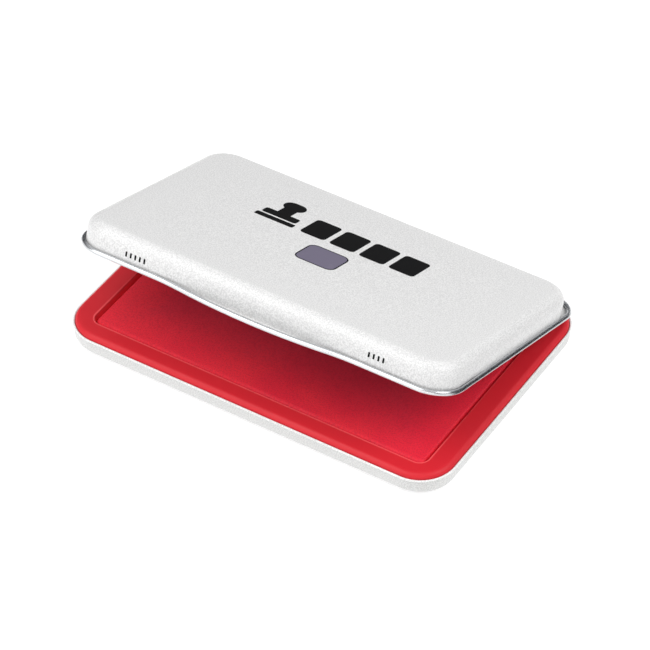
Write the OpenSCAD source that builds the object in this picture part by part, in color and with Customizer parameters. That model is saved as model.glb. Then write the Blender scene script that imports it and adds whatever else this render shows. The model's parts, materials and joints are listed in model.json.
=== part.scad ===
// Office stamp pad in a pressed tin case, with its lid held part open.
// A shallow tin tray carries a moulded frame round an inked cloth face. The lid is one tin
// pressing with a curled rim, and it swings on a wire through the back curl.
// Origin: centre of the tray's underside. +X runs along the long side, +Y to the hinge, +Z up.

/* [Ink face] */
// Length of the inked face inside the frame
pad_w = 106; // [60:0.5:160]
// Width of the inked face inside the frame
pad_d = 67; // [40:0.5:110]
// Corner radius of the frame's window
window_r = 3; // [2:0.1:8]
// Height of the cloth's face above the table
cloth_z = 6.5; // [5:0.1:8]
// Thickness of the cloth cover
cloth_t = 0.5; // [0.3:0.05:1]
// Radius of the cloth's rolled edge
cloth_edge_r = 1.3; // [0.8:0.1:2]
// Gap between the cloth and the frame's inner lip
cloth_gap = 0.25; // [0.1:0.05:1]

/* [Frame] */
// Width of the frame beside the window, left and right
band_side = 6.3; // [4:0.1:12]
// Width of the frame in front of the window
band_front = 5.4; // [4:0.1:12]
// Width of the frame behind the window
band_back = 7.8; // [5:0.1:14]
// Height of the frame's top face above the table
band_z = 7.1; // [6.6:0.1:9]
// Wall thickness of the moulding
frame_t = 1.4; // [0.8:0.1:2]
// Outer corner radius of the frame
frame_r = 10.2; // [7:0.1:14]
// Radius of the frame's outer shoulder
shoulder_r = 1.5; // [0.8:0.1:2]
// How far the inner lip drops beside the cloth
lip_drop = 2; // [1.2:0.1:3]
// How far the inner lip leans in on its way down
lip_lean = 0.4; // [0.2:0.1:1.2]
// Radius of the lip's top edge
lip_edge_r = 0.4; // [0.2:0.05:0.8]

/* [Tin] */
// Thickness of the tinplate
tin_t = 0.3; // [0.2:0.02:0.5]
// Height of the tray's rim above the table
tray_h = 5.8; // [4:0.1:6.2]
// Outer radius of the tray's bottom edge
foot_r = 2.8; // [1:0.1:3.5]
// Radius of the tray's hemmed rim
rim_r = 0.3; // [0.2:0.05:0.5]
// Gap between the tray's wall and the frame
frame_gap = 0.08; // [0.04:0.02:0.4]
// Height of the frame's skirt above the tray's rounded bottom edge
skirt_gap = 0.2; // [0.1:0.1:2]

/* [Lid] */
// Angle at which the lid stands open
lid_open = 18.5; // [0:0.5:100]
// Height of the lid's top above its curled rim
lid_h = 7.5; // [6:0.05:14]
// Corner radius of the lid's walls
lid_r = 8.5; // [5:0.1:12]
// Radius of the lid's top edge
lid_edge_r = 3.4; // [1:0.1:5]
// Distance of the curled rim inside the tray's wall, at the sides
curl_in_side = 1.25; // [0.6:0.05:3]
// Distance of the curled rim inside the tray's wall, at the front
curl_in_front = 2.5; // [0.6:0.05:3]
// Distance from the curled rim's middle to the lid's wall
wall_in = 0.48; // [0.4:0.02:0.7]
// Distance from the hinge axis to the lid's back wall
back_flange = 4.4; // [2.5:0.1:8]
// Width of the thumb lip along the front
thumb_w = 64; // [20:1:80]
// How far the thumb lip stands out
thumb_out = 2.4; // [1:0.1:5]
// Radius of the blend at each end of the thumb lip
thumb_blend_r = 60; // [20:5:100]

/* [Hinge] */
// Radius of the hinge wire
wire_r = 0.42; // [0.3:0.05:0.8]
// Radial clearance of the wire in the curls
wire_gap = 0.03; // [0.02:0.01:0.1]
// Gap between the closed lid's curl and the frame
shut_gap = 0.1; // [0.05:0.05:1]
// Distance of each tray knuckle from the middle
knuckle_x = 28; // [15:1:45]
// Width of each tray knuckle
knuckle_w = 16; // [6:1:24]
// Gap between neighbouring knuckles
knuckle_gap = 0.3; // [0.2:0.05:1]
// Solid length of curl left past each end of the wire
wire_stop = 1.2; // [0.5:0.1:3]

/* [Ink store] */
// Wall and floor thickness of the ink pan
pan_t = 0.8; // [0.5:0.1:1.5]
// Gap between the pan's wall and the pad inside it
pan_gap = 0.2; // [0.1:0.05:1]
// Thickness of the felt core
felt_t = 2.1; // [1:0.1:3]

/* [Hidden] */
$fn = 96;

// Frame: outline, and the window's offset from the middle of the case
frame_w = pad_w + 2 * band_side;
frame_d = pad_d + band_front + band_back;
window_y = (band_front - band_back) / 2;
lip_z = band_z - lip_drop;
skirt_z = foot_r + skirt_gap;
lip_land = 0.8;
lip_arc_steps = 6;

// Tray: the wall follows the frame's outline
wall_out = frame_gap + tin_t;
tray_w = frame_w + 2 * wall_out;
tray_d = frame_d + 2 * wall_out;
tray_r = frame_r + wall_out;

// Hinge: the curl's size follows the wire, and its height clears the frame when shut.
// A sheet runs into its curl a little inside the tangent.
bore_r = wire_r + wire_gap;
curl_r = bore_r + tin_t;
sheet_off = 0.85 * curl_r;
hinge_y = tray_d / 2 - sheet_off;
hinge_z = band_z + shut_gap + curl_r;

// Lid in its own frame: hinge axis at the origin, lid shut, front towards -Y
curl_w = tray_w - 2 * curl_in_side;
curl_d = tray_d / 2 + hinge_y - curl_in_front;
curl_corner_r = lid_r + wall_in;
sheet_z = -sheet_off;
lid_w = curl_w - 2 * wall_in;
lid_d = curl_d - wall_in - back_flange;
lid_y = -back_flange - lid_d / 2;
thumb_sum_r = (pow(thumb_w / 2, 2) + pow(thumb_out, 2)) / (2 * thumb_out);
thumb_angle = asin(thumb_w / 2 / thumb_sum_r);
thumb_r = thumb_sum_r - thumb_blend_r;
thumb_steps = 24;
wire_len = curl_w - 2 * curl_corner_r - 2 * wire_stop;
bore_len = wire_len + 2 * wire_gap;
slot_w = knuckle_w + 2 * knuckle_gap;

// Ink store: the stack stands on the tray's floor and the frame's lip holds it down
cloth_w = pad_w - 2 * (lip_lean + cloth_gap);
cloth_d = pad_d - 2 * (lip_lean + cloth_gap);
cloth_r = window_r - lip_lean - cloth_gap;
pan_w = cloth_w + 2 * (pan_gap + pan_t);
pan_d = cloth_d + 2 * (pan_gap + pan_t);
pan_r = cloth_r + pan_gap + pan_t;
felt_z = tin_t + pan_t;
sponge_z = felt_z + felt_t;
sponge_edge_r = cloth_edge_r - cloth_t;

tin_white = [0.89, 0.89, 0.88];
frame_red = [0.78, 0.12, 0.16];
cloth_red = [0.66, 0.1, 0.14];
pan_grey = [0.75, 0.76, 0.78];
felt_red = [0.55, 0.08, 0.1];
sponge_red = [0.6, 0.12, 0.14];
steel = [0.7, 0.7, 0.72];

// A rectangle with rounded corners, centred on the origin
module round_rect(w, d, r) {
    for (sx = [-1, 1]) for (sy = [-1, 1])
        translate([sx * (w / 2 - r), sy * (d / 2 - r)]) circle(r);
    square([w - 2 * r, d], center = true);
    square([w, d - 2 * r], center = true);
}

// Carries a section round a rounded rectangle. The section's x is its distance from the
// corner's centre, so x = r lies on the outline.
module carry_round(w, d, r) {
    for (side = [0:3]) {
        a = side % 2 == 0 ? w / 2 - r : d / 2 - r;
        b = side % 2 == 0 ? d / 2 - r : w / 2 - r;
        rotate([0, 0, 90 * side]) translate([a, b, 0]) {
            rotate([90, 0, 0]) linear_extrude(2 * b) children();
            rotate_extrude(angle = 90) children();
        }
    }
}

// Section of a cap's edge: from the corner's centre out to r, top at h, edge rounded by e
module cap_section(r, h, e, z0) {
    translate([0, z0]) square([r, h - e - z0]);
    translate([0, z0]) square([r - e, h - z0]);
    translate([r - e, h - e]) intersection() {
        circle(e);
        square(e);
    }
}

// A thin cap: top sheet, rounded edge and a straight skirt down to z0
module cap_shell(w, d, r, h, e, t, z0) {
    carry_round(w, d, r) difference() {
        cap_section(r, h, e, z0);
        cap_section(r - t, h - t, e - t, z0 - 1);
    }
    translate([0, 0, h - t / 2]) cube([w - 2 * r, d - 2 * r, t], center = true);
}

// Pressed tray with a hemmed rim and two knuckles for the hinge wire
module base_tray() {
    color(tin_white) {
        mirror([0, 0, 1])
            cap_shell(tray_w, tray_d, tray_r, 0, foot_r, tin_t, rim_r - tray_h);
        translate([0, 0, tray_h - rim_r])
            carry_round(tray_w, tray_d, tray_r) translate([tray_r, 0]) circle(rim_r);
        for (side = [-1, 1]) translate([side * knuckle_x, 0, 0]) tray_knuckle();
    }
}

// One tab of the tray's back wall, curled round the wire
module tray_knuckle() {
    difference() {
        union() {
            translate([-knuckle_w / 2, tray_d / 2 - tin_t, tray_h - 2 * rim_r])
                cube([knuckle_w, tin_t, hinge_z - tray_h + 2 * rim_r]);
            translate([0, hinge_y, hinge_z]) along_x(curl_r, knuckle_w);
        }
        translate([0, hinge_y, hinge_z]) along_x(bore_r, knuckle_w + 1);
    }
}

// A cylinder along X, centred on the origin
module along_x(r, length) {
    rotate([0, 90, 0]) cylinder(h = length, r = r, center = true);
}

// Moulded frame: skirt and shoulder, flat band, and the lip round the window
module pad_frame() {
    land = 3;
    color(frame_red) {
        carry_round(frame_w, frame_d, frame_r) difference() {
            intersection() {
                cap_section(frame_r, band_z, shoulder_r, skirt_z);
                translate([frame_r - land, 0]) square([land, band_z]);
            }
            square([frame_r - frame_t, band_z - frame_t]);
        }
        translate([0, 0, band_z - frame_t]) linear_extrude(frame_t) difference() {
            round_rect(frame_w - 2 * land, frame_d - 2 * land, frame_r - land);
            translate([0, window_y]) round_rect(pad_w + 2 * lip_land, pad_d + 2 * lip_land,
                                                window_r + lip_land);
        }
        translate([0, window_y, 0]) carry_round(pad_w, pad_d, window_r) lip_section();
    }
}

// Section of the window's lip, with its top edge rounded
module lip_section() {
    lean = atan2(lip_lean, lip_drop);
    turn = 90 - lean;
    reach = lip_edge_r * tan(turn / 2);
    polygon(concat(
        [[window_r + lip_land, lip_z], [window_r + lip_land, band_z]],
        [for (i = [0:lip_arc_steps]) let (a = turn * i / lip_arc_steps)
            [window_r + reach - lip_edge_r * sin(a),
             band_z - lip_edge_r + lip_edge_r * cos(a)]],
        [[window_r - lip_lean, lip_z]]));
}

// Shallow pan that keeps the ink off the tin
module ink_pan() {
    color(pan_grey) translate([0, window_y, tin_t]) {
        linear_extrude(pan_t) round_rect(pan_w, pan_d, pan_r);
        linear_extrude(lip_z - tin_t) difference() {
            round_rect(pan_w, pan_d, pan_r);
            round_rect(pan_w - 2 * pan_t, pan_d - 2 * pan_t, pan_r - pan_t);
        }
    }
}

// Dense felt that stores the ink
module felt_core() {
    color(felt_red) translate([0, window_y, felt_z])
        linear_extrude(felt_t) round_rect(cloth_w, cloth_d, cloth_r);
}

// Soft sponge that pushes the cloth up against a stamp
module sponge_layer() {
    w = cloth_w - 2 * cloth_t;
    d = cloth_d - 2 * cloth_t;
    r = cloth_r - cloth_t;
    color(sponge_red) translate([0, window_y, 0]) {
        carry_round(w, d, r) cap_section(r, cloth_z - cloth_t, sponge_edge_r, sponge_z);
        translate([0, 0, sponge_z])
            linear_extrude(cloth_z - cloth_t - sponge_z)
                square([w - 2 * r, d - 2 * r], center = true);
    }
}

// Cloth cover stretched over the sponge, its edge rolled down beside the frame's lip
module pad_cloth() {
    color(cloth_red) translate([0, window_y, 0])
        cap_shell(cloth_w, cloth_d, cloth_r, cloth_z, cloth_edge_r, cloth_t, sponge_z);
}

// Steel wire on which the lid turns
module hinge_wire() {
    color(steel) translate([0, hinge_y, hinge_z]) along_x(wire_r, wire_len);
}

// How far the rim's middle line stands out along the thumb lip, at x from its middle
function thumb_y(x) = abs(x) < thumb_r * sin(thumb_angle)
    ? thumb_r - thumb_out - sqrt(pow(thumb_r, 2) - pow(x, 2))
    : sqrt(pow(thumb_blend_r, 2) - pow(thumb_w / 2 - abs(x), 2)) - thumb_blend_r;

// Outline of the curled rim's middle line, thumb lip included
module rim_outline() {
    translate([0, -curl_d / 2]) round_rect(curl_w, curl_d, curl_corner_r);
    translate([0, -curl_d]) polygon(concat(
        [[thumb_w / 2, wall_in], [-thumb_w / 2, wall_in]],
        [for (i = [0:thumb_steps]) let (x = thumb_w * (i / thumb_steps - 0.5))
            [x, thumb_y(x)]]));
}

// A length of curl bent to radius r about the origin, from one angle to another
module curl_bend(r, from, to) {
    rotate([0, 0, from]) rotate_extrude(angle = to - from)
        translate([r, 0]) circle(curl_r);
}

// The curl that runs round the rim and out along the thumb lip
module rim_curl() {
    straight_x = curl_w / 2 - curl_corner_r;
    for (side = [-1, 1]) {
        translate([side * (straight_x + thumb_w / 2) / 2, -curl_d, 0])
            along_x(curl_r, straight_x - thumb_w / 2);
        translate([side * thumb_w / 2, -curl_d - thumb_blend_r, 0])
            curl_bend(thumb_blend_r, 90, 90 + side * thumb_angle);
        translate([side * curl_w / 2, -curl_d / 2, 0]) rotate([0, 0, 90])
            along_x(curl_r, curl_d - 2 * curl_corner_r);
        translate([side * straight_x, -curl_corner_r, 0])
            curl_bend(curl_corner_r, 90 - side * 90, 90);
        translate([side * straight_x, curl_corner_r - curl_d, 0])
            curl_bend(curl_corner_r, side == 1 ? 270 : 180, side == 1 ? 360 : 270);
    }
    translate([0, -curl_d + thumb_r - thumb_out, 0])
        curl_bend(thumb_r, 270 - thumb_angle, 270 + thumb_angle);
    along_x(curl_r, 2 * straight_x);
}

// Lid pressing, placed on the hinge axis at its open angle
module lid() {
    color(tin_white) translate([0, hinge_y, hinge_z]) rotate([-lid_open, 0, 0])
        difference() {
            union() {
                translate([0, lid_y, 0])
                    cap_shell(lid_w, lid_d, lid_r, lid_h, lid_edge_r, tin_t, sheet_z);
                translate([0, 0, sheet_z]) linear_extrude(tin_t) difference() {
                    rim_outline();
                    translate([0, lid_y])
                        round_rect(lid_w - 2 * tin_t, lid_d - 2 * tin_t, lid_r - tin_t);
                }
                rim_curl();
            }
            along_x(bore_r, bore_len);
            for (side = [-1, 1]) translate([side * knuckle_x, 0, 0])
                cube([slot_w, 2 * (curl_r + knuckle_gap), 4 * curl_r], center = true);
        }
}

base_tray();
pad_frame();
ink_pan();
felt_core();
sponge_layer();
pad_cloth();
hinge_wire();
lid();
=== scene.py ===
"""Looks of an office stamp pad in a pressed tin case, with its lid held part open.

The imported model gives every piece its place. Shapes are worked out in millimetres and put
down in metres. The lid is built shut, on its hinge line, and then swung to its open angle.
"""

import json
import math

import bmesh
import bpy
import numpy as np
from mathutils import Matrix, Vector


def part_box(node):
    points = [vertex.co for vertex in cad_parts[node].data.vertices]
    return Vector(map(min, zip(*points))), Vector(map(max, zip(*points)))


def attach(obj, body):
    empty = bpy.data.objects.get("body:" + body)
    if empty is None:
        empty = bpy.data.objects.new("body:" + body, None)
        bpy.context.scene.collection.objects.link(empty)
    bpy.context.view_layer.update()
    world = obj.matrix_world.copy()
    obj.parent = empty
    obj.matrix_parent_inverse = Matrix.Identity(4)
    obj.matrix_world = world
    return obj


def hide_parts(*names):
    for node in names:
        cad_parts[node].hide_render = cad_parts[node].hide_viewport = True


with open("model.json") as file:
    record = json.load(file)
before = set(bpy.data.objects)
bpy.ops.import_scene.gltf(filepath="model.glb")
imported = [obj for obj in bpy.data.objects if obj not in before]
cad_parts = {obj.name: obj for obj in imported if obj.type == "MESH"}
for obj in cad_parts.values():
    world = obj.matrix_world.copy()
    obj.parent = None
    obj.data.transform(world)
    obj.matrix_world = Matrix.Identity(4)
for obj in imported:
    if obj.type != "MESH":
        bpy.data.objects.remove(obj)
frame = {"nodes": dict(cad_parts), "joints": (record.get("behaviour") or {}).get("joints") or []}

MM = 0.001

# Tray and frame. An outline is a width, a depth, a corner radius and its middle along Y.
TIN = 0.3                # thickness of the tinplate
TRAY_CORNER = 10.58      # corner radius of the tray's wall
TRAY_HEIGHT = 5.8        # height of the hemmed rim
FOOT = 2.8               # radius of the tray's bottom edge
HEM = 0.3                # radius of the hem
FRAME_CORNER = 10.2      # outer corner radius of the red frame
FRAME_WALL = 1.4         # wall thickness of the moulding
SKIRT = 3.0              # height at which the frame's skirt ends
SHOULDER = 1.5           # radius of the frame's outer shoulder
WINDOW = (106.0, 67.0, 3.0, -1.2)
LIP_DROP = 2.0           # height of the lip round the window
LIP_LEAN = 0.4           # how far the lip's foot stands in from its top
LIP_EDGE = 0.4           # radius of the lip's upper edge
LIP_LAND = 0.8           # thickness of the lip

# Lid, from the hinge line: front towards -Y, heights above the rim's middle line
LID_WALL = (115.9, 72.9425, 8.5, -40.87125)
LID_RIM = (116.86, 77.8225, 8.98, -38.91125)
LID_HEIGHT = 7.5
LID_EDGE = 3.4           # radius of the edge between the lid's top and wall
CROWN = 0.1              # how far the middle of the lid's top stands proud
CURL = 0.75              # outer radius of the curled rim
CURL_END = (128, 212)    # angle at which its roll ends, from least to most rolled
CURL_STEPS = 22          # rows of faces round its roll
FLANGES = (0.55, 1.45)   # flange widths at which the curl is least and most rolled
FOOT_BEND = 0.3          # radius of the bend between the lid's wall and its flange
EDGE_ROWS = 3            # rows of the curl, from its raw edge, painted dark: painted shade where the curl meets the wall
THUMB_WIDTH = 64.0       # width of the thumb lip
THUMB_OUT = 2.4          # how far it stands out
THUMB_BLEND = 60.0       # radius by which it runs back into the rim
SLOTS = ((-36.3, -19.7), (19.7, 36.3))   # gaps in the back curl for the tray's knuckles
SLOT_REACH = 0.76        # where the slots start on the back flange, as a share of it

# Hinge
WIRE_BORE = 0.45         # inner radius of a knuckle
KNUCKLES = (-28.0, 28.0) # middles of the tray's knuckles along the hinge
KNUCKLE_WIDTH = 16.0
KNUCKLE_ROOT = 1.2       # how far below the tray's rim a knuckle starts
KNUCKLE_TURN = 312       # how far it goes round the wire, in degrees

# Inked cloth
CLOTH_T = 0.5            # thickness of the cloth as packed
CLOTH_EDGE = 0.65        # radius of its turned edge
CLOTH_RISE = 0.3         # how far the stuffed cover swells in its middle
CLOTH_DRIFT = 0.15       # how far a point of it may move sideways
CLOTH_GRID = 0.72        # mesh size of the simulation
CLOTH_HELD = 2.2         # depth below its top at which the skirt is held
WEAVE = 0.42             # pitch of the threads

# Camera: bearing from the front and height in degrees, then aim and distance in millimetres
TURN, TILT = 32.025, 42.467
AIM_ACROSS, AIM_UP, AWAY = 0.791, 3.010, 947.05
LENS, SENSOR = 190.71, 36.0

# Stations round an outline: at each corner, and from end to end of its straight edges
CORNER_STEPS = 18
FRONT = np.linspace(-1, 1, 97)
SIDE = np.linspace(-1, 1, 25)


# ---------------------------------------------------------------- node helpers

class Value:
    """What one socket gives, so that sums on values add their own nodes."""

    def __init__(self, tree, socket):
        self.tree, self.socket = tree, socket

    def reckon(self, operation, first, second):
        return self.tree.node("ShaderNodeMath", {"operation": operation}, {0: first, 1: second})

    def __add__(self, other):
        return self.reckon("ADD", self, other)

    def __sub__(self, other):
        return self.reckon("SUBTRACT", self, other)

    def __rsub__(self, other):
        return self.reckon("SUBTRACT", other, self)

    def __mul__(self, other):
        return self.reckon("MULTIPLY", self, other)

    __radd__, __rmul__ = __add__, __mul__


class Tree:
    """A node tree that is written from top to bottom."""

    def __init__(self, tree):
        self.tree = tree

    def node(self, kind, settings=None, inputs=None, output=0):
        made = self.tree.nodes.new(kind)
        for name, value in (settings or {}).items():
            setattr(made, name, value)
        for name, value in (inputs or {}).items():
            if isinstance(value, Value):
                self.tree.links.new(value.socket, made.inputs[name])
            else:
                made.inputs[name].default_value = value
        return Value(self, made.outputs[output])


class Finish(Tree):
    """A material on a Principled shader, with its patterns measured in millimetres."""

    def __init__(self, name, fixed, swung=False):
        self.material = bpy.data.materials.new(name)
        self.material.use_nodes = True
        super().__init__(self.material.node_tree)
        self.shader = self.tree.nodes["Principled BSDF"]
        for socket, value in fixed.items():
            self.shader.inputs[socket].default_value = value
        place = self.node("ShaderNodeTexCoord", output="Object")
        if swung:
            place = self.node("ShaderNodeMapping", {"vector_type": "TEXTURE"},
                              {"Vector": place, "Location": HINGE, "Rotation": (-OPEN, 0, 0)})
        self.place = self.scaled(place, 1000)

    def scaled(self, vector, amount):
        return self.node("ShaderNodeVectorMath", {"operation": "SCALE"},
                         {0: vector, "Scale": amount})

    def stretched(self, factors, vector=None):
        return self.node("ShaderNodeVectorMath", {"operation": "MULTIPLY"},
                         {0: vector or self.place, 1: factors})

    def noise(self, size, detail=2.0, vector=None):
        """Even noise from 0 to 1 whose blotches are about so many millimetres across."""
        return self.node("ShaderNodeTexNoise", {}, {"Vector": vector or self.place,
                                                    "Scale": 1 / size, "Detail": detail})

    def ease(self, value, low, high, start=0.0, end=1.0):
        """A smooth step from start to end as the value goes from low to high."""
        return self.node("ShaderNodeMapRange", {"interpolation_type": "SMOOTHSTEP"},
                         {"Value": value, "From Min": low, "From Max": high,
                          "To Min": start, "To Max": end})

    def blend(self, mask, first, second):
        ready = [c if isinstance(c, Value) else (*c, 1.0) for c in (first, second)]
        return self.node("ShaderNodeMix", {"data_type": "RGBA"},
                         {0: mask, 6: ready[0], 7: ready[1]}, 2)

    def axis(self, letter):
        return self.node("ShaderNodeSeparateXYZ", {}, {0: self.place}, letter)

    def relief(self, height, depth, strength=1.0):
        """Feeds a bump of so many millimetres to the shader."""
        self.feed(Normal=self.node("ShaderNodeBump", {}, {"Height": height, "Strength": strength,
                                                          "Distance": depth * MM}))

    def feed(self, **values):
        """Links values to the shader's sockets and gives the finished material."""
        for name, value in values.items():
            self.tree.links.new(value.socket, self.shader.inputs[name.replace("_", " ")])
        return self.material


class Recipe(Tree):
    """A Geometry Nodes tree with named sizes, in metres."""

    def __init__(self, name, sizes):
        super().__init__(bpy.data.node_groups.new(name, "GeometryNodeTree"))
        for label, value in sizes.items():
            kind = "NodeSocketInt" if isinstance(value, int) else "NodeSocketFloat"
            self.tree.interface.new_socket(label, in_out="INPUT", socket_type=kind)
        self.tree.interface.new_socket("Geometry", in_out="OUTPUT",
                                       socket_type="NodeSocketGeometry")
        self.entry = self.tree.nodes.new("NodeGroupInput")
        self.sizes = sizes

    def size(self, label):
        return Value(self, self.entry.outputs[label])

    def press(self, name, shape, material):
        """Runs the tree once and returns its result as a plain mesh object."""
        real = self.node("GeometryNodeRealizeInstances", {}, {"Geometry": shape})
        done = self.node("GeometryNodeSetMaterial", {}, {"Geometry": real, "Material": material})
        self.tree.links.new(done.socket, self.tree.nodes.new("NodeGroupOutput").inputs["Geometry"])
        piece = put(bpy.data.meshes.new(name), name)
        step = piece.modifiers.new(name, "NODES")
        step.node_group = self.tree
        for item in self.tree.interface.items_tree:
            if item.in_out == "INPUT":
                step[item.identifier] = self.sizes[item.name]
        graph = bpy.context.evaluated_depsgraph_get()
        mesh = bpy.data.meshes.new_from_object(piece.evaluated_get(graph), depsgraph=graph)
        piece.modifiers.remove(step)
        piece.data = mesh
        settle(mesh)
        return piece


# ---------------------------------------------------------------- shapes

def put(mesh, name):
    piece = bpy.data.objects.new(name, mesh)
    bpy.context.scene.collection.objects.link(piece)
    return piece


def settle(mesh, sharp=35):
    """Merges doubles, points the faces outwards and smooths all but the sharp edges."""
    work = bmesh.new()
    work.from_mesh(mesh)
    bmesh.ops.remove_doubles(work, verts=work.verts, dist=0.0005 * MM)
    bmesh.ops.delete(work, geom=[v for v in work.verts if not v.link_faces], context="VERTS")
    bmesh.ops.recalc_face_normals(work, faces=work.faces)
    work.to_mesh(mesh)
    work.free()
    mesh.shade_smooth()
    mesh.set_sharp_from_angle(angle=math.radians(sharp))


def thumb(x):
    """How far the thumb lip moves the rim's front line, at x from its middle."""
    total = ((THUMB_WIDTH / 2) ** 2 + THUMB_OUT ** 2) / (2 * THUMB_OUT)
    main = total - THUMB_BLEND
    turn = main * math.sin(math.asin(THUMB_WIDTH / 2 / total))
    x = np.abs(x)
    belly = main - THUMB_OUT - np.sqrt(main ** 2 - np.minimum(x, turn) ** 2)
    tail = np.sqrt(THUMB_BLEND ** 2 - np.clip(THUMB_WIDTH / 2 - x, 0, turn) ** 2) - THUMB_BLEND
    return np.where(x < turn, belly, tail)


def outline(shape, inset=0.0, back=SIDE, bulge=False):
    """Points and outward normals round a rounded rectangle, from the front edge's left end."""
    width, depth, corner, middle = shape
    half, r = (depth / 2 - inset, width / 2 - inset), max(corner - inset, 0.02)
    points, normals = [], []
    for turn, stations in enumerate((FRONT, SIDE, back, SIDE)):
        angle = math.radians(90 * turn - 90)
        out = np.array([math.cos(angle), math.sin(angle)])
        along = np.array([-out[1], out[0]])
        reach, length = half[turn % 2], half[1 - turn % 2] - r
        for s in stations:
            points.append(out * reach + along * length * s)
            normals.append(out)
        for k in range(1, CORNER_STEPS):
            a = angle + math.pi / 2 * k / CORNER_STEPS
            normals.append(np.array([math.cos(a), math.sin(a)]))
            points.append(out * (reach - r) + along * length + r * normals[-1])
    points, normals = np.array(points) + (0, middle), np.array(normals)
    if bulge:
        n = len(FRONT)
        x = points[:n, 0].copy()
        slope = (thumb(x + 0.01) - thumb(x - 0.01)) / 0.02
        points[:n, 1] += thumb(x)
        normals[:n] = np.column_stack([slope, -np.ones(n)]) / np.sqrt(1 + slope ** 2)[:, None]
    return points, normals


def ring(line, offset, height):
    """One ring of a skin: the line moved outwards by offset, at a height."""
    points, normals = line
    return np.column_stack([points + normals * np.reshape(offset, (-1, 1)),
                            np.broadcast_to(height, len(points))])


def arc(centre, radius, start, end, steps):
    """Offsets and heights along an arc, in degrees, both ends included."""
    for a in np.radians(np.linspace(start, end, steps + 1)):
        yield centre[0] + radius * np.cos(a), centre[1] + radius * np.sin(a)


def skin(name, rings, materials, picks, loop=False, gaps=(), cut=(0, 0)):
    """Carries a section round its outline, closed into a loop or with a point at each end.

    gaps are spans of columns with no faces in cut's rings.
    """
    count, columns = len(rings), len(rings[0])
    here = lambda i, j: (i % count) * columns + j % columns
    mesh, faces, marks = bpy.data.meshes.new(name), [], []
    empty = {j for first, last in gaps for j in range(first, last)}
    for i in range(count if loop else count - 1):
        for j in range(columns):
            if cut[0] <= i < cut[1] and j in empty:
                continue
            faces.append((here(i, j), here(i + 1, j), here(i + 1, j + 1), here(i, j + 1)))
            marks.append(picks[i])
    for j in empty:
        faces.append((here(cut[0], j), here(cut[1], j), here(cut[1], j + 1), here(cut[0], j + 1)))
        marks.append(picks[cut[1]])
    for first, last in gaps:
        section = range(cut[0], cut[1] + 1)
        faces.append(tuple(here(i, first) for i in section))
        faces.append(tuple(here(i, last) for i in reversed(section)))
        marks += [picks[cut[1]]] * 2
    mesh.from_pydata((np.concatenate(rings) * MM).tolist(), [], faces)
    for material in materials:
        mesh.materials.append(material)
    mesh.polygons.foreach_set("material_index", marks)
    steps = np.linalg.norm(np.diff(rings[count // 2], axis=0), axis=1)
    drops = [np.linalg.norm(b - a, axis=1).mean() for a, b in zip(rings, rings[1:])]
    along, down = (np.concatenate([[0], np.cumsum(part)]) for part in (steps, drops))
    # The chart runs along the outline and down the section, in millimetres.
    chart = mesh.uv_layers.new(name="sheet")
    for face in mesh.polygons:
        wrap = {v % columns for v in (mesh.loops[k].vertex_index for k in face.loop_indices)}
        turned = len(wrap) == 2 and wrap == {0, columns - 1}
        for k in face.loop_indices:
            i, j = divmod(mesh.loops[k].vertex_index, columns)
            chart.data[k].uv = (along[-1] + 1 if turned and j == 0 else along[j], down[i])
    return put(mesh, name)


def between(base, n):
    """Side faces between an outline of n points, from base on, and the next such outline."""
    return [(base + k, base + (k + 1) % n, base + n + (k + 1) % n, base + n + k) for k in range(n)]


def prisms(name, shapes, material, height, proud, foot=0.03):
    """Thin raised prints: each outline becomes a prism that follows the surface below it.

    height gives that surface at a point. The prism stands proud of it and reaches foot below.
    """
    mesh, points, faces = bpy.data.meshes.new(name), [], []
    for shape in shapes:
        base, n = len(points), len(shape)
        lift = [height(x, y) for x, y in shape]
        points += [(x, y, z - foot) for (x, y), z in zip(shape, lift)]
        points += [(x, y, z + proud) for (x, y), z in zip(shape, lift)]
        faces.append(tuple(base + n + k for k in range(n)))
        faces.append(tuple(base + k for k in reversed(range(n))))
        faces += between(base, n)
    mesh.from_pydata((np.array(points) * MM).tolist(), [], faces)
    mesh.materials.append(material)
    return put(mesh, name)


def block(x, y, width, height, corner, steps=6):
    """Outline of a rounded block, counter-clockwise, with its middle at x and y."""
    points = []
    for k, (sx, sy) in enumerate(((1, -1), (1, 1), (-1, 1), (-1, -1))):
        for a in np.radians(np.linspace(90 * k - 90, 90 * k, steps + 1)):
            points.append((x + sx * (width / 2 - corner) + corner * math.cos(a),
                           y + sy * (height / 2 - corner) + corner * math.sin(a)))
    return points


# ---------------------------------------------------------------- finishes

def white_enamel(name, pale, swung=False):
    """Satin white stove enamel with a fine pearly grain, a little uneven over large areas."""
    f = Finish(name, {"Specular IOR Level": 0.5, "Coat Roughness": 0.17}, swung)
    pearl = f.noise(0.34, 1.0)
    cloud = f.noise(26, 3.0)
    dust = f.ease(f.noise(0.9, 4.0), 0.66, 0.78)
    dull = tuple(0.955 * c for c in pale)
    colour = f.blend(f.ease(cloud, 0.35, 0.65), dull, pale)
    colour = f.blend(f.ease(pearl, 0.3, 0.7), tuple(0.86 * c for c in pale),
                     f.blend(0.5, colour, tuple(1.28 * c for c in pale)))
    colour = f.blend(dust * 0.10, colour, (0.60, 0.59, 0.56))
    rough = 0.30 + 0.10 * pearl + 0.08 * cloud
    coat = f.ease(cloud, 0.3, 0.7, 0.18, 0.34)
    f.relief(0.2 * pearl + 0.8 * f.noise(1.9, 2.0), 0.007, 0.5)
    return f.feed(Base_Color=colour, Roughness=rough, Coat_Weight=coat)


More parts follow.
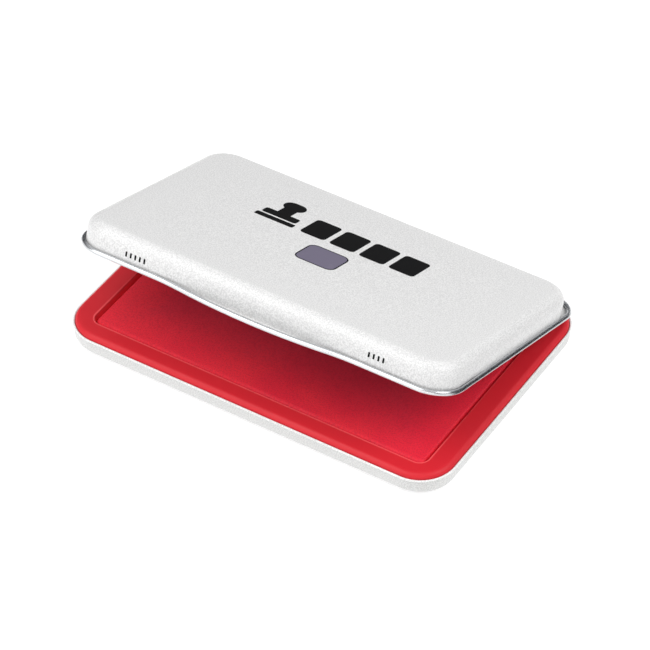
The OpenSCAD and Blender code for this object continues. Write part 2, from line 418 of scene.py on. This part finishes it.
def bare_tin(name, swung=False, bright=1.0):
    """Tinplate, rolled along the sheet, with a thin clear lacquer and light scuffs."""
    f = Finish(name, {"Coat Roughness": 0.2}, swung)
    tone = lambda *colour: tuple(bright * c for c in colour)
    sheet = f.node("ShaderNodeTexCoord", output="UV")
    rolled = f.noise(0.06, 3.0, f.stretched((0.02, 1.0, 1.0), sheet))
    cloud = f.noise(7, 3.0)
    scuff = f.ease(f.noise(0.5, 5.0), 0.62, 0.72)
    colour = f.blend(cloud, tone(0.56, 0.58, 0.60), tone(0.70, 0.71, 0.72))
    colour = f.blend(scuff * 0.35, colour, tone(0.36, 0.37, 0.39))
    f.relief(rolled, 0.004, 0.5)
    return f.feed(Base_Color=colour, Metallic=1 - 0.1 * scuff,
                  Roughness=0.20 + 0.12 * rolled + 0.14 * scuff,
                  Coat_Weight=f.ease(cloud, 0.3, 0.7, 0.0, 0.3))


def past_window(f):
    """How many millimetres a point lies past the window's rounded edge; less than 0 inside it."""
    wide, deep, corner, middle = WINDOW
    plain = lambda value: value.reckon("ABSOLUTE", value, 0.0)
    most = lambda first, second: first.reckon("MAXIMUM", first, second)
    beside = plain(f.axis("X")) - (wide / 2 - corner)
    along = plain(f.axis("Y") - middle) - (deep / 2 - corner)
    out_x, out_y = most(beside, 0.0), most(along, 0.0)
    round_out = out_x * out_x + out_y * out_y
    inside = most(beside, along)
    return (round_out.reckon("SQRT", round_out, 0.0)
            + inside.reckon("MINIMUM", inside, 0.0) - corner)


def red_moulding():
    """Satin red plastic with a fine spark-eroded grain and faint flow marks, a painted highlight
    along the front lip's edge and painted light on the lip's inner wall.
    """
    f = Finish("red_moulding", {"Specular IOR Level": 0.26, "Coat Roughness": 0.3})
    flow = f.noise(14, 3.0, f.stretched((0.35, 1.0, 1.0)))
    grain = f.noise(0.16, 2.0)
    finger = f.ease(f.noise(22, 2.0), 0.5, 0.72)
    past = past_window(f)
    # painted light: the lip's inner wall, inside the window's edge, is painted a brighter red that
    # lifts the shade of its recess
    lip = f.ease(past, 0.02, -0.12)
    # painted highlight: a lighter red band along the top edge of the window's front lip, where
    # light glints
    painted_lip_highlight = (f.ease(past, -0.05, 0.08) * f.ease(past, 0.65, 0.3)
                 * f.ease(f.axis("Y"), -12, -33, 0.25, 1.0) * f.ease(f.axis("Z"), 6.3, 6.8))
    colour = f.blend(flow, (0.65, 0.014, 0.026), (0.71, 0.020, 0.031))
    colour = f.blend(finger * 0.15, colour, (0.56, 0.009, 0.026))
    colour = f.blend(painted_lip_highlight, colour, (0.98, 0.11, 0.12))
    colour = f.blend(lip * 0.9, colour, (0.98, 0.06, 0.08))
    f.relief(0.7 * grain + 0.3 * f.noise(2.4, 1.0), 0.008, 0.5)
    return f.feed(Base_Color=colour, Roughness=0.40 + 0.14 * grain + 0.08 * finger,
                  Coat_Weight=f.ease(flow, 0.3, 0.7, 0.0, 0.08))


def inked_cloth():
    """Fine plain weave steeped in red ink, with painted shade that makes it darker and bluer
    towards its middle.
    """
    f = Finish("inked_cloth", {"Specular IOR Level": 0.35, "Sheen Weight": 0.12,
                               "Sheen Roughness": 0.5, "Sheen Tint": (0.9, 0.2, 0.2, 1.0)})
    sway = 0.10 * (f.noise(5, 1.0) - 0.5)
    wave = lambda letter: f.node("ShaderNodeMath", {"operation": "SINE"},
                                 {0: (f.axis(letter) + sway) * (math.pi / WEAVE)})
    warp, weft = wave("X"), wave("Y")
    over = f.ease(warp * weft, -0.5, 0.5)
    thread = over * warp * warp + (1 - over) * weft * weft
    pooled = f.ease(f.noise(17, 3.0), 0.36, 0.66)
    blot = f.ease(f.noise(2.6, 4.0), 0.45, 0.7)
    slub = f.noise(0.36, 3.0, f.stretched((1.0, 0.7, 1.0)))
    # painted shade: the cloth turns a darker, bluer red towards its middle
    shaded_middle = f.ease(past_window(f), -3, -24, 0.0, 0.5)
    colour = f.blend(pooled, (0.97, 0.025, 0.047), (0.90, 0.019, 0.046))
    colour = f.blend(shaded_middle, colour, (0.60, 0.034, 0.078))
    colour = f.blend(blot * 0.16, colour, (0.72, 0.010, 0.038))
    colour = f.blend((1 - thread) * 0.20, colour, (0.60, 0.006, 0.034))
    colour = f.blend(f.ease(slub, 0.60, 0.32) * 0.42, colour, (0.50, 0.006, 0.030))
    f.relief(thread + 0.8 * slub + 0.4 * f.noise(0.25, 2.0), 0.05, 0.6)
    return f.feed(Base_Color=colour, Roughness=0.72 - 0.16 * pooled - 0.08 * blot)


def soaked_fibre(name, pale, dark, size, depth):
    """Matted fibres or open foam, soaked with red ink."""
    f = Finish(name, {"Specular IOR Level": 0.3})
    cell = f.node("ShaderNodeTexVoronoi", {"feature": "F1"}, {"Vector": f.place, "Scale": 1 / size})
    fluff = f.noise(size * 0.7, 5.0)
    patch = f.noise(12, 3.0)
    colour = f.blend(f.ease(cell, 0.15, 0.7), dark, pale)
    colour = f.blend(patch * 0.5, colour, dark)
    f.relief(0.6 * cell + 0.4 * fluff, depth, 0.8)
    return f.feed(Base_Color=colour, Roughness=0.62 + 0.25 * fluff)


def pan_plastic():
    """Matte pale moulding with faint flow marks, mostly stained by the red ink it holds."""
    f = Finish("pan_plastic", {"Specular IOR Level": 0.4})
    flow, grain = f.noise(9, 3.0), f.noise(0.3, 2.0)
    stain = f.ease(f.noise(6, 4.0), 0.25, 0.6, 0.55, 1.0)
    colour = f.blend(flow, (0.70, 0.71, 0.73), (0.78, 0.79, 0.80))
    colour = f.blend(stain, colour, (0.45, 0.02, 0.04))
    f.relief(grain, 0.01, 0.5)
    return f.feed(Base_Color=colour, Roughness=0.48 + 0.14 * grain)


def drawn_steel():
    """Bright wire, drawn lengthwise, with a little tarnish."""
    f = Finish("drawn_steel", {})
    drawn = f.noise(0.05, 3.0, f.stretched((0.02, 1.0, 1.0)))
    tarnish = f.ease(f.noise(3, 4.0), 0.5, 0.75)
    colour = f.blend(tarnish * 0.5, (0.62, 0.62, 0.64), (0.36, 0.33, 0.30))
    f.relief(drawn, 0.004, 0.5)
    return f.feed(Base_Color=colour, Metallic=1 - 0.15 * tarnish,
                  Roughness=0.22 + 0.15 * drawn + 0.2 * tarnish)


def printed_ink(name, ink, worn):
    """Screen-printed ink that lies on the enamel, thin and a little worn."""
    f = Finish(name, {"Specular IOR Level": 0.06}, swung=True)
    mesh = f.noise(0.28, 2.0)
    rub = f.ease(f.noise(3.5, 4.0), 0.58, 0.85)
    colour = f.blend(0.30 * mesh + 0.5 * rub, ink, worn)
    f.relief(mesh, 0.006, 0.5)
    return f.feed(Base_Color=colour, Roughness=0.48 + 0.12 * mesh + 0.1 * rub)


# ---------------------------------------------------------------- stage

def studio():
    """A pale floor, soft light from above, and cards that only the metal's reflections see."""
    scene = bpy.context.scene
    scene.view_settings.view_transform = "Standard"
    world = bpy.data.worlds.new("studio")
    world.use_nodes = True
    scene.world = world
    tree = Tree(world.node_tree)
    way = tree.node("ShaderNodeTexCoord", output="Generated")
    height = tree.node("ShaderNodeSeparateXYZ", {}, {0: way}, "Z")
    rise = tree.node("ShaderNodeMapRange", {"interpolation_type": "SMOOTHSTEP"},
                     {"Value": height, "From Min": 0.10, "From Max": 0.75})
    sky = tree.node("ShaderNodeMix", {"data_type": "RGBA"},
                    {0: rise, 6: (0.20, 0.20, 0.21, 1), 7: (0.80, 0.80, 0.81, 1)}, 2)
    tree.tree.links.new(sky.socket, world.node_tree.nodes["Background"].inputs["Color"])
    world.node_tree.nodes["Background"].inputs["Strength"].default_value = 0.78

    lamps = (("softbox", (-0.20, -0.28, 0.58), 0.50, 2.0),
             ("fill", (0.50, 0.09, 0.46), 0.40, 2.0),
             ("low_front", (-0.38, -0.56, 0.20), 0.40, 1.0),
             ("back_fill", (0.05, 0.55, 0.62), 0.45, 0.4))
    for name, place, size, power in lamps:
        lamp = bpy.data.lights.new(name, "AREA")
        lamp.shape, lamp.size, lamp.energy = "SQUARE", size, power
        holder = bpy.data.objects.new(name, lamp)
        holder.location = place
        holder.rotation_euler = (-Vector(place)).to_track_quat("-Z", "Y").to_euler()
        scene.collection.objects.link(holder)

    floor = Finish("pale_floor", {"Roughness": 0.9, "Specular IOR Level": 0.1,
                                  "Emission Strength": 0.58, "Emission Color": (1, 1, 1, 1)})
    pale = floor.blend(floor.noise(60, 3.0), (0.50, 0.50, 0.50), (0.53, 0.53, 0.53))
    far = 7.0
    corners = [(-far, -far, 0), (far, -far, 0), (far, far, 0), (-far, far, 0)]
    panel("floor", corners, floor.feed(Base_Color=pale))

    dark = Finish("dark_card", {"Base Color": (0.02, 0.022, 0.027, 1), "Roughness": 0.9}).material
    white = Finish("white_card", {"Emission Color": (1, 1, 1, 1),
                                  "Emission Strength": 0.9}).material
    upright = lambda start, end, height: [(*start, 0), (*end, 0), (*end, height), (*start, height)]
    mat = [(x, y, 0.0005) for x, y in ((0.075, -0.03), (0.40, 0.02), (0.16, 0.42), (0.075, 0.10))]
    cards = (("right_card", upright((0.16, 0.42), (0.40, 0.02), 0.34), dark),
             ("right_mat", mat, dark),
             ("left_card", upright((-0.36, 0.02), (-0.22, 0.30), 0.17), dark),
             ("front_card", upright((-0.5, -0.36), (0.42, -0.40), 0.20), white))
    for name, corners, material in cards:
        card = panel(name, corners, material)
        card.visible_camera = card.visible_diffuse = card.visible_shadow = False


def panel(name, corners, material):
    """A flat sheet of the studio, in metres."""
    mesh = bpy.data.meshes.new(name)
    mesh.from_pydata(corners, [], [(0, 1, 2, 3)])
    mesh.materials.append(material)
    return put(mesh, name)


def camera():
    """A long lens from the right and above."""
    turn, tilt = math.radians(TURN), math.radians(TILT)
    back = Vector((math.sin(turn) * math.cos(tilt), -math.cos(turn) * math.cos(tilt),
                   math.sin(tilt)))
    right = Vector((math.cos(turn), math.sin(turn), 0))
    up = back.cross(right)
    lens = bpy.data.cameras.new("camera")
    lens.sensor_width, lens.lens = SENSOR, LENS
    lens.clip_start, lens.clip_end = 0.05, 20.0
    holder = bpy.data.objects.new("camera", lens)
    spin = Matrix((right, up, back)).transposed().to_4x4()
    place = right * AIM_ACROSS + up * AIM_UP + back * AWAY
    holder.matrix_world = Matrix.Translation(place * MM) @ spin
    bpy.context.scene.collection.objects.link(holder)
    bpy.context.scene.camera = holder


# ---------------------------------------------------------------- pieces

def hand_over(piece, body, slot, *stands_for):
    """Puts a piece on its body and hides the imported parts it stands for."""
    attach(piece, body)
    if stands_for:
        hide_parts(*stands_for)


def swing(piece):
    """Moves a piece built on the shut lid to where the lid stands."""
    piece.data.transform(Matrix.Translation(HINGE) @ Matrix.Rotation(-OPEN, 4, "X"))


def crown(x, y):
    """Height of the lid's top at a point, above the top's edge."""
    width, depth, _, middle = LID_WALL
    t = max(abs(x) / (width / 2 - LID_EDGE), abs(y - middle) / (depth / 2 - LID_EDGE))
    return CROWN * (1 - min(t, 1.0) ** 2)


def lid_pressing(*tins):
    """The lid as one sheet: enamel outside, a bright curl with its raw edge painted dark as shade,
    lacquer inside.
    """
    half = LID_RIM[0] / 2 - LID_RIM[2]
    marks = sorted({half, -half, *(x for slot in SLOTS for x in slot)}, reverse=True)
    # The back edge has a station at each end of each slot.
    back = np.concatenate([np.linspace(a, b, 9 if b - a > -14 else 13, endpoint=False)
                           for a, b in zip(marks, marks[1:])] + [[-half]]) / -half
    wall = outline(LID_WALL, back=back)
    rim = outline(LID_RIM, back=back, bulge=True)
    flange = np.linalg.norm(rim[0] - wall[0], axis=1)
    narrow, broad = FLANGES
    roll = np.clip((flange - narrow) / (broad - narrow), 0, 1)
    least, most = CURL_END
    last = least + (most - least) * roll * roll * (3 - 2 * roll)
    middle = np.array([0, LID_WALL[3]])
    shares = (0.0, 0.12, 0.3, 0.5, 0.7, 0.86, 0.96)

    def top(drop):
        base = outline(LID_WALL, LID_EDGE, back)[0]
        return [np.column_stack([middle + (base - middle) * t,
                                 np.full(len(base), LID_HEIGHT + CROWN * (1 - t * t) - drop)])
                for t in shares]

    def side(drop):
        """Fillet, wall and foot bend on one face of the sheet, drop below the outer one."""
        rows = [ring(wall, s, z) for s, z in
                arc((-LID_EDGE, LID_HEIGHT - LID_EDGE), LID_EDGE - drop, 90, 0, 12)]
        rows += [ring(wall, -drop, z) for z in (3.0, 1.5, 0.4)]
        bend = (FOOT_BEND, FOOT_BEND + TIN - CURL)
        rows += [ring(wall, s, z) for s, z in arc(bend, FOOT_BEND + drop, 180, 270, 6)]
        return rows

    def shelf(z):
        """The flange between the wall's foot and the curl."""
        start = ring(wall, FOOT_BEND, z)
        end = ring(rim, 0, z)
        return [start + (end - start) * share for share in (0.35, SLOT_REACH)]

    def curl(radius):
        turns = np.radians([-90 + (last + 90) * k / CURL_STEPS for k in range(CURL_STEPS + 1)])
        return [ring(rim, radius * np.cos(a), radius * np.sin(a)) for a in turns]

    outer = top(0) + side(0) + shelf(TIN - CURL) + curl(CURL - TIN)
    inner = top(TIN) + side(TIN) + shelf(-CURL) + curl(CURL)
    rings = outer + inner[::-1]
    rolled = CURL_STEPS + 1
    enamel, bright, shaded_edge, lacquer = range(4)
    # painted shade: the rows at the curl's raw edge take a dark copy of the bare tin
    picks = ([enamel] * (len(outer) - EDGE_ROWS) + [shaded_edge] * 2 * EDGE_ROWS
             + [bright] * (rolled - EDGE_ROWS) + [lacquer] * (len(inner) - rolled))
    first = len(outer) - rolled - 1
    before = len(FRONT) + len(SIDE) + 2 * (CORNER_STEPS - 1)
    starts = [before + int(np.argmin(abs(back * -half - x))) for slot in SLOTS for x in slot[::-1]]
    gaps = [tuple(starts[k:k + 2]) for k in (0, 2)]
    piece = skin("lid_pressing", rings, tins, picks, gaps=gaps,
                 cut=(first, len(rings) - 1 - first))
    settle(piece.data)
    swing(piece)
    hand_over(piece, "lid", "tin_enamel", "lid")


def lid_prints(black, grey):
    """Plain printed marks: a hand stamp, a row of blocks, a grey badge, and dashes on the front."""
    stamp = [block(-21.0, -35.0, 12.4, 2.2, 0.5), block(-21.0, -31.6, 11.0, 3.2, 0.8),
             block(-21.0, -28.0, 4.2, 5.0, 0.4), block(-21.0, -24.0, 6.8, 5.2, 2.5)]
    row = [block(-8.6 + k * 9.4, -30.6, 7.9, 10.8, 1.2) for k in range(4)]
    above = lambda x, y: LID_HEIGHT + crown(x, y)
    badge, face = block(0.4, -45.4, 12.6, 11.0, 2.4), block(0.4, -45.4, 11.8, 10.2, 2.0)
    plates = [prisms("lid_print_black", stamp + row, black, above, proud=0.02),
              prisms("lid_print_edge", [badge], black, above, proud=0.012),
              prisms("lid_print_badge", [face], grey, above, proud=0.02)]
    for count, start, height in ((5, -41.2, 2.75), (4, 34.6, 3.35)):
        side = "left" if start < 0 else "right"
        plates.append(dash_row(f"lid_dashes_{side}", count, start, height, black))
    for piece in plates:
        swing(piece)
        hand_over(piece, "lid", "tin_enamel")


def dash_row(name, count, start, height, black):
    """A row of small printed dashes on the lid's front wall."""
    r = Recipe(name, {"Count": count, "Pitch": 1.45 * MM, "Width": 0.55 * MM, "Height": 1.5 * MM,
                      "Corner": 0.15 * MM, "Thickness": 0.05 * MM})
    bar = r.node("GeometryNodeCurvePrimitiveQuadrilateral", {},
                 {"Width": r.size("Width"), "Height": r.size("Height")})
    bar = r.node("GeometryNodeFilletCurve", {"mode": "POLY"},
                 {"Curve": bar, "Radius": r.size("Corner"), "Count": 4})
    bar = r.node("GeometryNodeFillCurve", {"mode": "NGONS"}, {"Curve": bar})
    step = r.node("ShaderNodeCombineXYZ", {}, {"X": r.size("Pitch")})
    row = r.node("GeometryNodeMeshLine", {}, {"Count": r.size("Count"), "Offset": step})
    many = r.node("GeometryNodeInstanceOnPoints", {}, {"Points": row, "Instance": bar})
    flat = r.node("GeometryNodeRealizeInstances", {}, {"Geometry": many})
    shape = r.node("GeometryNodeExtrudeMesh", {"mode": "FACES"},
                   {"Mesh": flat, "Offset": (0, 0, 1), "Offset Scale": r.size("Thickness"),
                    "Individual": True})
    back = r.node("GeometryNodeFlipFaces", {}, {"Mesh": flat})
    both = r.tree.nodes.new("GeometryNodeJoinGeometry")
    for part in (shape, back):
        r.tree.links.new(part.socket, both.inputs[0])
    piece = r.press(name, Value(r, both.outputs[0]), black)
    face = LID_WALL[3] - LID_WALL[1] / 2
    piece.data.transform(Matrix.Translation(Vector((start, face + 0.02, height)) * MM)
                         @ Matrix.Rotation(math.pi / 2, 4, "X"))
    return piece


def tray_pressing(enamel, tin):
    """The tray as one sheet: floor, rounded foot and wall."""
    low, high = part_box("base_tray")
    wide, deep = ((high[k] - low[k]) / MM - 2 * HEM for k in (0, 1))
    shape = (wide, deep, TRAY_CORNER, 0.0)
    wall, floor_line = outline(shape), outline(shape, FOOT)[0]

    rim = TRAY_HEIGHT - HEM

    def floor(z):
        return [np.column_stack([floor_line * t, np.full(len(floor_line), z)])
                for t in (0.0, 0.4, 0.8)]

    def side(radius, offset):
        rows = [ring(wall, s, z) for s, z in arc((-FOOT, FOOT), radius, 270, 360, 10)]
        return rows + [ring(wall, offset, z) for z in (3.6, 4.4, rim)]

    inside = floor(TIN) + side(FOOT - TIN, -TIN) + [ring(wall, -TIN + 0.08, rim + 0.22)]
    outside = floor(0) + side(FOOT, 0) + [ring(wall, -0.08, rim + 0.22)]
    picks = [1] * len(inside) + [0] * len(outside)
    piece = skin("tray_pressing", inside + outside[::-1], (enamel, tin), picks)
    settle(piece.data)
    hand_over(piece, "base", "tin_enamel", "base_tray")
    return shape


def tray_hem(shape, enamel):
    """The rolled hem, a round bead carried along the wall's outer face."""
    r = Recipe("tray_hem", {"Width": shape[0] * MM, "Depth": shape[1] * MM, "Corner": shape[2] * MM,
                            "Bead": HEM * MM, "Level": (TRAY_HEIGHT - HEM) * MM})
    path = r.node("GeometryNodeCurvePrimitiveQuadrilateral", {},
                  {"Width": r.size("Width"), "Height": r.size("Depth")})
    path = r.node("GeometryNodeFilletCurve", {"mode": "POLY"},
                  {"Curve": path, "Radius": r.size("Corner"), "Count": 24})
    level = r.node("ShaderNodeCombineXYZ", {}, {"Z": r.size("Level")})
    path = r.node("GeometryNodeSetPosition", {}, {"Geometry": path, "Offset": level})
    bead = r.node("GeometryNodeCurvePrimitiveCircle", {},
                  {"Resolution": 16, "Radius": r.size("Bead")})
    shape = r.node("GeometryNodeCurveToMesh", {}, {"Curve": path, "Profile Curve": bead})
    piece = r.press("tray_hem", shape, enamel)
    hand_over(piece, "base", "tin_enamel")


def tray_knuckles(shape, enamel):
    """Two tongues of the tray's back wall, curled round the hinge wire."""
    y, z = HINGE[1] / MM, HINGE[2] / MM
    wall = shape[1] / 2
    root = TRAY_HEIGHT - KNUCKLE_ROOT
    section = [(wall, root), *arc((y, z), CURL, 0, KNUCKLE_TURN, 30),
               *arc((y, z), WIRE_BORE, KNUCKLE_TURN, 0, 30), (wall - TIN, root)]
    mesh, points, faces = bpy.data.meshes.new("tray_knuckles"), [], []
    for middle in KNUCKLES:
        base, n = len(points), len(section)
        for x in (middle - KNUCKLE_WIDTH / 2, middle + KNUCKLE_WIDTH / 2):
            points += [(x, *p) for p in section]
        faces += between(base, n)
        faces.append(tuple(base + k for k in reversed(range(n))))
        faces.append(tuple(base + n + k for k in range(n)))
    mesh.from_pydata((np.array(points) * MM).tolist(), [], faces)
    mesh.materials.append(enamel)
    settle(mesh, sharp=30)
    hand_over(put(mesh, "tray_knuckles"), "base", "tin_enamel")


def moulded_frame(red):
    """The red frame: skirt, rounded shoulder, flat band and the lip round the window."""
    low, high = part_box("pad_frame")
    wide, deep = ((high[k] - low[k]) / MM for k in (0, 1))
    top = high[2] / MM
    outer, window = outline((wide, deep, FRAME_CORNER, 0.0)), outline(WINDOW)
    lean = math.degrees(math.atan2(LIP_LEAN, LIP_DROP))
    tuck = LIP_EDGE * math.tan(math.radians((90 - lean) / 2))
    rings = [ring(window, -LIP_LEAN, top - LIP_DROP), ring(window, -LIP_LEAN * 0.55, top - 1.1)]
    rings += [ring(window, s, z)
              for s, z in arc((tuck, top - LIP_EDGE), LIP_EDGE, 180 - lean, 90, 8)]
    edge, start = ring(outer, -SHOULDER, top), ring(window, tuck, top)
    rings += [start + (edge - start) * t for t in (0.15, 0.5, 0.85)]
    rings += [ring(outer, s, z) for s, z in arc((-SHOULDER, top - SHOULDER), SHOULDER, 90, 0, 10)]
    rings += [ring(outer, 0, SKIRT + 0.2), ring(outer, -0.2, SKIRT),
              ring(outer, -FRAME_WALL, SKIRT), ring(outer, -FRAME_WALL, top - FRAME_WALL),
              ring(window, LIP_LAND, top - FRAME_WALL), ring(window, LIP_LAND, top - LIP_DROP)]
    piece = skin("moulded_frame", rings, (red,), [0] * len(rings), loop=True)
    settle(piece.data)
    hand_over(piece, "base", "frame_plastic", "pad_frame")


def slab(name, node, edge, material, inset=0.0, rise=0.0):
    """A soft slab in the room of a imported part, its top edge rounded and its middle raised."""
    low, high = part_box(node)
    wide, deep = ((high[k] - low[k]) / MM for k in (0, 1))
    middle = (high[1] + low[1]) / 2 / MM
    bottom, top = low[2] / MM + 0.02, high[2] / MM - rise
    corner = max(WINDOW[2] - LIP_LEAN - 0.25 - inset, 1.0)
    shape = (wide - 0.04, deep - 0.04, corner, middle)
    wall, crest = outline(shape), outline(shape, edge)[0]
    centre = np.array([0, middle])

    def sheet(share, height):
        return np.column_stack([centre + (crest - centre) * share, np.full(len(crest), height)])

    rings = [sheet(t, top + rise * (1 - t ** 4)) for t in (0.0, 0.2, 0.4, 0.6, 0.75, 0.88, 0.96)]
    rings += [ring(wall, s, z) for s, z in arc((-edge, top - edge), edge, 90, 0, 6)]
    rings += [ring(wall, 0, bottom + 0.1), ring(wall, -0.1, bottom)]
    rings += [sheet(0.6, bottom), sheet(0.0, bottom)]
    piece = skin(name, rings, (material,), [0] * len(rings))
    settle(piece.data)
    return piece


def swell(cover, held, most):
    """Cloth under pressure, its skirt held: returns how far each point moves, at most so far.

    The solver runs on the cover at ten times its size, where it is steadier.
    """
    size = 10.0
    rest = np.array([v.co for v in cover.data.vertices])
    cover.data.transform(Matrix.Scale(size, 4))
    pins = cover.vertex_groups.new(name="held")
    pins.add([k for k, p in enumerate(rest) if p[2] < held], 1.0, "REPLACE")
    cloth = cover.modifiers.new("swell", "CLOTH")
    cloth.settings.vertex_group_mass = "held"
    cloth.settings.use_pressure = True
    cloth.settings.uniform_pressure_force = 4.0
    cloth.settings.effector_weights.gravity = 0.0
    cloth.settings.tension_stiffness = 25.0
    cloth.settings.bending_stiffness = 2.0
    cloth.collision_settings.use_collision = False
    first, last = 1, 20
    cloth.point_cache.frame_start, cloth.point_cache.frame_end = first, last
    for step in range(first, last + 1):
        bpy.context.scene.frame_set(step)
    graph = bpy.context.evaluated_depsgraph_get()
    moved = np.array([v.co for v in cover.evaluated_get(graph).data.vertices]) / size - rest
    cover.modifiers.remove(cloth)
    cover.vertex_groups.clear()
    bpy.context.scene.frame_set(first)
    cover.data.transform(Matrix.Scale(1 / size, 4))
    peak = np.linalg.norm(moved, axis=1).max()
    return moved * (most / peak if peak > most else 1.0)


def cloth_cover(material):
    """The inked cloth, swollen over its sponge and turned down beside the frame's lip."""
    low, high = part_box("pad_cloth")
    piece = slab("cloth_cover", "pad_cloth", CLOTH_EDGE, material, inset=0.75)
    mesh = piece.data
    remesh = piece.modifiers.new("even", "REMESH")
    remesh.mode, remesh.voxel_size = "VOXEL", CLOTH_GRID * MM
    graph = bpy.context.evaluated_depsgraph_get()
    even = bpy.data.meshes.new_from_object(piece.evaluated_get(graph), depsgraph=graph)
    piece.modifiers.remove(remesh)
    piece.data = even
    bpy.data.meshes.remove(mesh)
    # The cover is open below, where the sponge goes in.
    work = bmesh.new()
    work.from_mesh(even)
    under = [f for f in work.faces
             if f.calc_center_median().z < low.z + 0.35 * MM and f.normal.z < -0.4]
    bmesh.ops.delete(work, geom=under, context="FACES")
    work.to_mesh(even)
    work.free()
    points = np.array([v.co for v in even.vertices])
    moved = swell(piece, high.z - CLOTH_HELD * MM, CLOTH_RISE * MM)
    moved[:, :2] = np.clip(moved[:, :2], -CLOTH_DRIFT * MM, CLOTH_DRIFT * MM)
    even.vertices.foreach_set("co", (points + moved).astype(np.float32).ravel())
    smooth = piece.modifiers.new("smooth", "SMOOTH")
    smooth.factor, smooth.iterations = 0.5, 2
    thick = piece.modifiers.new("thick", "SOLIDIFY")
    thick.thickness, thick.offset, thick.use_even_offset = CLOTH_T * 0.9 * MM, -1.0, False
    graph = bpy.context.evaluated_depsgraph_get()
    final = bpy.data.meshes.new_from_object(piece.evaluated_get(graph), depsgraph=graph)
    piece.modifiers.clear()
    piece.data = final
    final.materials.clear()
    final.materials.append(material)
    final.shade_smooth()
    hand_over(piece, "base", "cloth", "pad_cloth")


def ink_store():
    """Sponge and felt under the cloth, and the pan and wire as packed."""
    foam = soaked_fibre("soaked_foam", pale=(0.46, 0.03, 0.04), dark=(0.20, 0.004, 0.01),
                        size=0.8, depth=0.12)
    felt = soaked_fibre("soaked_felt", pale=(0.42, 0.02, 0.03), dark=(0.22, 0.004, 0.01),
                        size=0.35, depth=0.08)
    sponge = slab("sponge", "sponge_layer", 0.8, foam, inset=0.5, rise=0.05)
    hand_over(sponge, "base", "sponge", "sponge_layer")
    core = slab("felt", "felt_core", 0.3, felt, rise=0.02)
    hand_over(core, "base", "felt", "felt_core")
    for node, material in (("ink_pan", pan_plastic()), ("hinge_wire", drawn_steel())):
        frame["nodes"][node].data.materials.clear()
        frame["nodes"][node].data.materials.append(material)


def make():
    camera()
    studio()
    # painted shade: the tray's enamel is a slightly darker copy of the lid's
    shaded_tray_white = white_enamel("white_enamel_tray", (0.70, 0.70, 0.688))
    shape = tray_pressing(shaded_tray_white, bare_tin("bare_tin_tray"))
    # painted highlight: the hem's enamel is a much paler copy, for the bright line along the rim
    tray_hem(shape, white_enamel("white_enamel_hem", (0.86, 0.857, 0.848)))
    tray_knuckles(shape, shaded_tray_white)
    moulded_frame(red_moulding())
    ink_store()
    cloth_cover(inked_cloth())
    lid_pressing(white_enamel("white_enamel_lid", (0.728, 0.726, 0.720), swung=True),
                 bare_tin("bare_tin_lid", swung=True),
                 # painted shade: a dark copy of the bare tin, for the curl's raw edge
                 bare_tin("dulled_edge", swung=True, bright=0.16),
                 bare_tin("lacquered_tin", swung=True, bright=0.72))
    lid_prints(printed_ink("print_black", (0.001, 0.001, 0.0012), (0.008, 0.008, 0.009)),
               printed_ink("print_grey", (0.150, 0.135, 0.190), (0.215, 0.195, 0.262)))


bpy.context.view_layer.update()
lid_joint = frame["joints"][0]
HINGE = Vector(lid_joint["pos_m"])
OPEN = math.radians(-lid_joint["range_deg"][0])
make()
